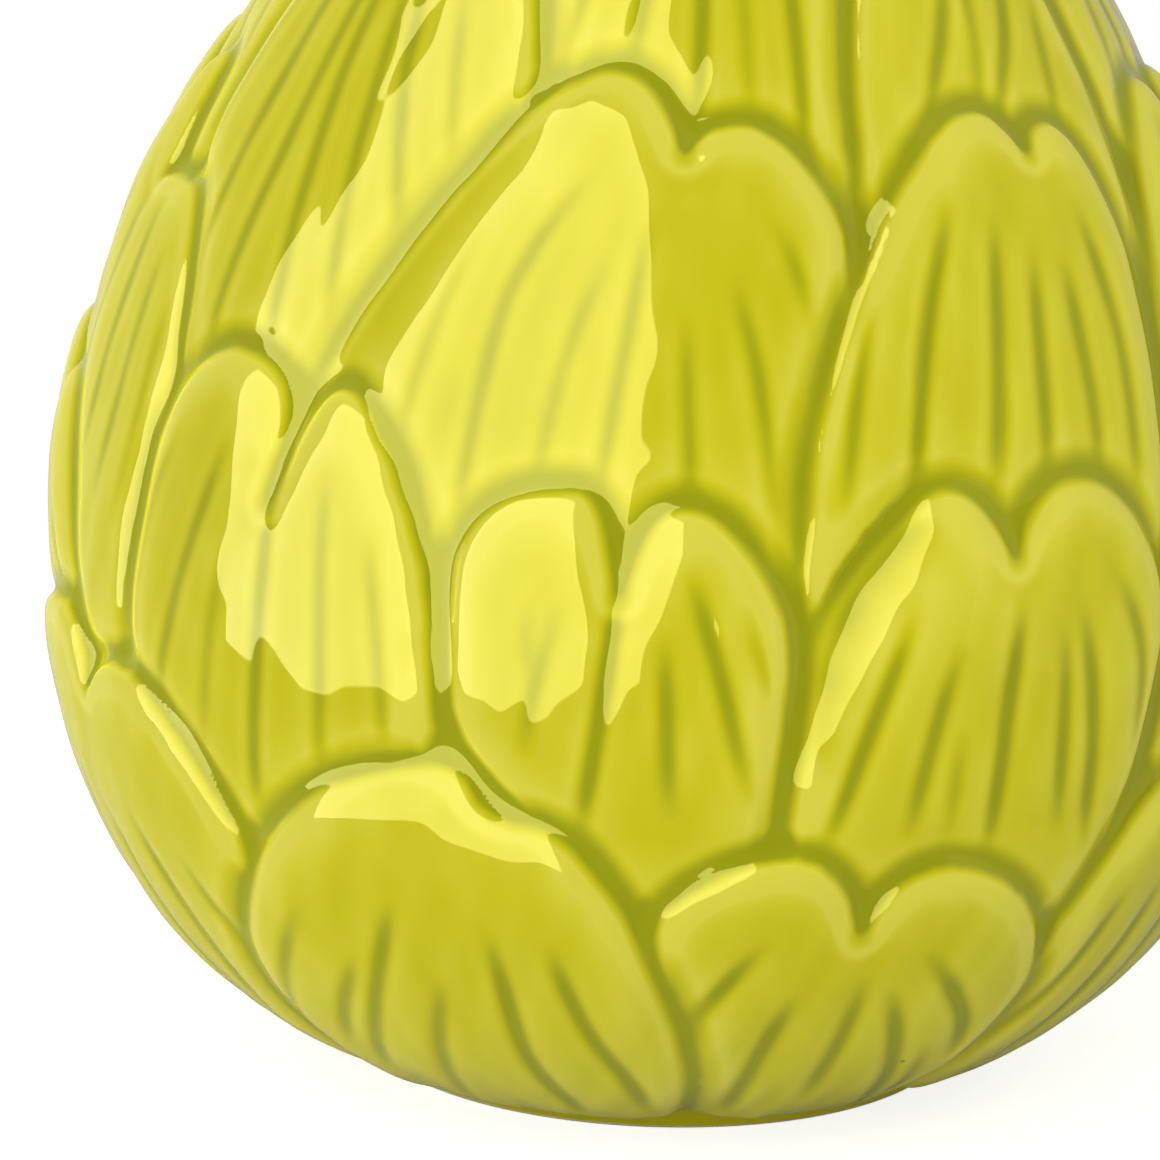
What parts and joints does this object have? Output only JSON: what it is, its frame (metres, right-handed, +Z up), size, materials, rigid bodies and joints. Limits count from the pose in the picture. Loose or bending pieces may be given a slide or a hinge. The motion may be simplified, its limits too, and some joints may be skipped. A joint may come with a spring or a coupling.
{
  "type": "artichoke vase",
  "caption": "Round-bellied glazed earthenware vase, its outside covered in rows of overlapping, notch-tipped artichoke bracts, with an open scalloped mouth.",
  "frame": {"origin": "centre of the vase's foot, on the plane that it stands on", "axes": "+Z up along the vase's axis, -Y towards the side that the picture shows, +X to the right of that view"},
  "size_m": [0.1736, 0.1734, 0.217],
  "materials": {
    "bract_glaze": "gloss",
    "wall_glaze": "gloss"
  },
  "bodies": {
    "root": {"vessel_wall": "wall_glaze", "foot_row_bract_1": "bract_glaze", "foot_row_bract_2": "bract_glaze", "foot_row_bract_3": "bract_glaze", "foot_row_bract_4": "bract_glaze", "foot_row_bract_5": "bract_glaze", "foot_row_bract_6": "bract_glaze", "foot_row_bract_7": "bract_glaze", "foot_row_bract_8": "bract_glaze", "belly_row_bract_1": "bract_glaze", "belly_row_bract_2": "bract_glaze", "belly_row_bract_3": "bract_glaze", "belly_row_bract_4": "bract_glaze", "belly_row_bract_5": "bract_glaze", "belly_row_bract_6": "bract_glaze", "belly_row_bract_7": "bract_glaze", "belly_row_bract_8": "bract_glaze", "belly_row_bract_9": "bract_glaze", "shoulder_row_bract_1": "bract_glaze", "shoulder_row_bract_2": "bract_glaze", "shoulder_row_bract_3": "bract_glaze", "shoulder_row_bract_4": "bract_glaze", "shoulder_row_bract_5": "bract_glaze", "shoulder_row_bract_6": "bract_glaze", "shoulder_row_bract_7": "bract_glaze", "shoulder_row_bract_8": "bract_glaze", "neck_row_bract_1": "bract_glaze", "neck_row_bract_2": "bract_glaze", "neck_row_bract_3": "bract_glaze", "neck_row_bract_4": "bract_glaze", "neck_row_bract_5": "bract_glaze", "neck_row_bract_6": "bract_glaze", "neck_row_bract_7": "bract_glaze", "neck_row_bract_8": "bract_glaze", "rim_row_bract_1": "bract_glaze", "rim_row_bract_2": "bract_glaze", "rim_row_bract_3": "bract_glaze", "rim_row_bract_4": "bract_glaze", "rim_row_bract_5": "bract_glaze", "rim_row_bract_6": "bract_glaze", "rim_row_bract_7": "bract_glaze", "rim_row_bract_8": "bract_glaze"}
  },
  "joints": []
}
